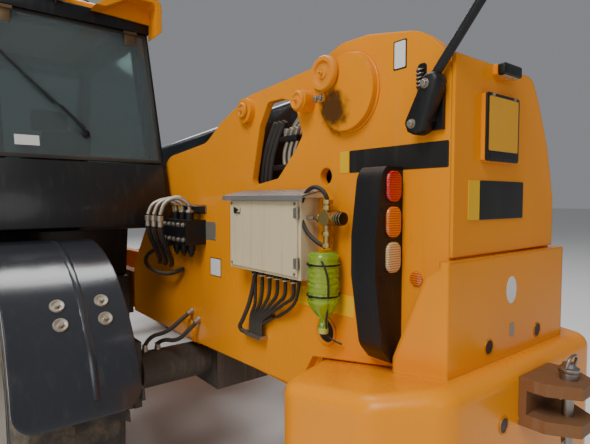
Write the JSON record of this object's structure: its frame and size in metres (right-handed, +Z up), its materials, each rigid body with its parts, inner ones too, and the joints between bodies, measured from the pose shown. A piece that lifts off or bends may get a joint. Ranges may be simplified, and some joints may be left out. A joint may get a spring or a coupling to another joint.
{
  "type": "telehandler",
  "caption": "Telehandler in orange and dark grey with a telescopic boom, cab on the left, four steered wheels and a fork carriage",
  "frame": {"origin": "middle of the footprint on the ground", "axes": "+X forward along the boom, +Y to the left (cab side), +Z up"},
  "size_m": [7.7146, 2.44, 2.69],
  "materials": {
    "chassis_paint": "warm orange-yellow gloss paint, scuffed",
    "engine_paint": "warm orange-yellow gloss paint",
    "dark_paint": "dark blue-grey gloss paint, dusty",
    "rim_paint": "grey paint, dusty",
    "guard_plastic": "moulded dark grey plastic",
    "tyre_rubber": "dusty rubber",
    "steel": "zinc plated, some rust",
    "rod_chrome": "hard chrome, polished",
    "fork_steel": "black paint worn at the tips",
    "cab_paint": "satin black",
    "window_glass": "tinted safety glass",
    "black_plastic": "satin black plastic",
    "seat_fabric": "dark cloth",
    "lens_plastic": "red, amber and clear lenses",
    "box_paint": "beige enamel",
    "cable_rubber": "black jacket",
    "bottle_plastic": "translucent green plastic"
  },
  "bodies": {
    "chassis": {"tower_plate_left": "chassis_paint", "tower_plate_right": "chassis_paint", "tower_pins": "steel", "rear_panel": "chassis_paint", "counterweight": "chassis_paint", "tow_hitch": "chassis_paint", "tow_pin": "steel", "chassis_frame": "chassis_paint", "front_axle": "dark_paint", "rear_axle": "dark_paint", "cab_frame": "cab_paint", "cab_glass": "window_glass", "cab_roof": "cab_paint", "roof_visor": "chassis_paint", "seat": "seat_fabric", "console": "black_plastic", "hydraulic_tank": "dark_paint", "engine_pod": "engine_paint", "engine_block": "dark_paint", "lamp_housings": "black_plastic", "lamp_lenses": "lens_plastic", "electrical_box": "box_paint", "box_cables": "cable_rubber", "steel_pipes": "steel", "pipe_clips": "steel", "valve_block": "black_plastic", "washer_bottle": "bottle_plastic", "isolator_valve": "steel", "mirror_arm": "black_plastic", "rear_mirror": "black_plastic"},
    "steer_rear_left": {"knuckle_rear_left": "dark_paint", "mudguard_rear_left": "guard_plastic"},
    "wheel_rear_left": {"rim_rear_left": "rim_paint", "tyre_rear_left": "tyre_rubber"},
    "steer_rear_right": {"knuckle_rear_right": "dark_paint", "mudguard_rear_right": "guard_plastic"},
    "wheel_rear_right": {"rim_rear_right": "rim_paint", "tyre_rear_right": "tyre_rubber"},
    "steer_front_left": {"knuckle_front_left": "dark_paint", "mudguard_front_left": "guard_plastic"},
    "wheel_front_left": {"rim_front_left": "rim_paint", "tyre_front_left": "tyre_rubber"},
    "steer_front_right": {"knuckle_front_right": "dark_paint", "mudguard_front_right": "guard_plastic"},
    "wheel_front_right": {"rim_front_right": "rim_paint", "tyre_front_right": "tyre_rubber"},
    "boom_outer_section": {"boom_outer": "dark_paint"},
    "boom_middle_section": {"boom_middle": "dark_paint"},
    "boom_inner_section": {"boom_inner": "dark_paint"},
    "carriage": {"fork_carriage": "dark_paint", "fork_tines": "fork_steel"},
    "lift_barrel": {"lift_cylinder_barrel": "dark_paint"},
    "lift_rod": {"lift_cylinder_rod": "rod_chrome"},
    "tilt_barrel": {"tilt_cylinder_barrel": "dark_paint"},
    "tilt_rod": {"tilt_cylinder_rod": "rod_chrome"},
    "door": {"cab_door": "cab_paint", "door_glass": "window_glass"},
    "engine_lid": {"engine_cover": "engine_paint"},
    "stabiliser_leg_left": {"stabiliser_left": "dark_paint"},
    "stabiliser_leg_right": {"stabiliser_right": "dark_paint"}
  },
  "joints": [
    {"name": "steering_rear_left", "type": "hinge", "parent": "chassis", "child": "steer_rear_left", "pos_m": [-1.92727, 0.72, 0.6261], "axis": [0, 0, 1], "range_deg": [-30, 30]},
    {"name": "roll_rear_left", "type": "hinge", "parent": "steer_rear_left", "child": "wheel_rear_left", "pos_m": [-1.92727, 1, 0.6261], "axis": [0, 1, 0], "continuous": true},
    {"name": "steering_rear_right", "type": "hinge", "parent": "chassis", "child": "steer_rear_right", "pos_m": [-1.92727, -0.72, 0.6261], "axis": [0, 0, 1], "range_deg": [-30, 30]},
    {"name": "roll_rear_right", "type": "hinge", "parent": "steer_rear_right", "child": "wheel_rear_right", "pos_m": [-1.92727, -1, 0.6261], "axis": [0, 1, 0], "continuous": true},
    {"name": "steering_front_left", "type": "hinge", "parent": "chassis", "child": "steer_front_left", "pos_m": [0.97273, 0.72, 0.6261], "axis": [0, 0, 1], "range_deg": [-30, 30]},
    {"name": "roll_front_left", "type": "hinge", "parent": "steer_front_left", "child": "wheel_front_left", "pos_m": [0.97273, 1, 0.6261], "axis": [0, 1, 0], "continuous": true},
    {"name": "steering_front_right", "type": "hinge", "parent": "chassis", "child": "steer_front_right", "pos_m": [0.97273, -0.72, 0.6261], "axis": [0, 0, 1], "range_deg": [-30, 30]},
    {"name": "roll_front_right", "type": "hinge", "parent": "steer_front_right", "child": "wheel_front_right", "pos_m": [0.97273, -1, 0.6261], "axis": [0, 1, 0], "continuous": true},
    {"name": "boom_lift", "type": "hinge", "parent": "chassis", "child": "boom_outer_section", "pos_m": [-3.13727, 0, 1.956], "axis": [0, -1, 0], "range_deg": [0, 70]},
    {"name": "boom_extend", "type": "slide", "parent": "boom_outer_section", "child": "boom_middle_section", "axis": [0.9984, 0, -0.0558], "range_m": [0, 3.4]},
    {"name": "boom_extend_inner", "type": "slide", "parent": "boom_middle_section", "child": "boom_inner_section", "axis": [0.9984, 0, -0.0558], "range_m": [0, 3.4]},
    {"name": "fork_tilt", "type": "hinge", "parent": "boom_inner_section", "child": "carriage", "pos_m": [2.49226, 0, 0.50048], "axis": [0, -1, 0], "range_deg": [-85, 15]},
    {"name": "lift_barrel_turn", "type": "hinge", "parent": "chassis", "child": "lift_barrel", "pos_m": [-2.80727, 0, 0.85], "axis": [0, -1, 0], "range_deg": [0, 53.35]},
    {"name": "lift_rod_slide", "type": "slide", "parent": "lift_barrel", "child": "lift_rod", "axis": [0.9424, 0, 0.3346], "range_m": [0, 1.169]},
    {"name": "tilt_barrel_turn", "type": "hinge", "parent": "boom_inner_section", "child": "tilt_barrel", "pos_m": [2.17605, 0, 1.50871], "axis": [0, -1, 0], "range_deg": [-2, 6]},
    {"name": "tilt_rod_slide", "type": "slide", "parent": "tilt_barrel", "child": "tilt_rod", "axis": [0.4691, 0, -0.8831], "range_m": [-0.0745, 0.4126]},
    {"name": "cab_door_hinge", "type": "hinge", "parent": "chassis", "child": "door", "pos_m": [-1.10427, 1.205, 1.6], "axis": [0, 0, 1], "range_deg": [0, 85]},
    {"name": "engine_cover_hinge", "type": "hinge", "parent": "chassis", "child": "engine_lid", "pos_m": [-0.47727, -0.336, 1.52], "axis": [-1, 0, 0], "range_deg": [0, 60]},
    {"name": "stabiliser_left_hinge", "type": "hinge", "parent": "chassis", "child": "stabiliser_leg_left", "pos_m": [1.88773, 0.35, 0.75], "axis": [-1, 0, 0], "range_deg": [0, 70]},
    {"name": "stabiliser_right_hinge", "type": "hinge", "parent": "chassis", "child": "stabiliser_leg_right", "pos_m": [1.88773, -0.35, 0.75], "axis": [1, 0, 0], "range_deg": [0, 70]}
  ],
  "couplings": [
    {"joint": "steering_rear_right", "follows": "steering_rear_left", "ratio": 1},
    {"joint": "steering_front_right", "follows": "steering_front_left", "ratio": 1},
    {"joint": "boom_extend_inner", "follows": "boom_extend", "ratio": 1},
    {"joint": "lift_barrel_turn", "follows": "boom_lift", "ratio": 0.75494},
    {"joint": "lift_rod_slide", "follows": "boom_lift", "m_per_rad": 0.95524},
    {"joint": "tilt_barrel_turn", "follows": "fork_tilt", "ratio": -0.04},
    {"joint": "tilt_rod_slide", "follows": "fork_tilt", "m_per_rad": -0.27676}
  ]
}
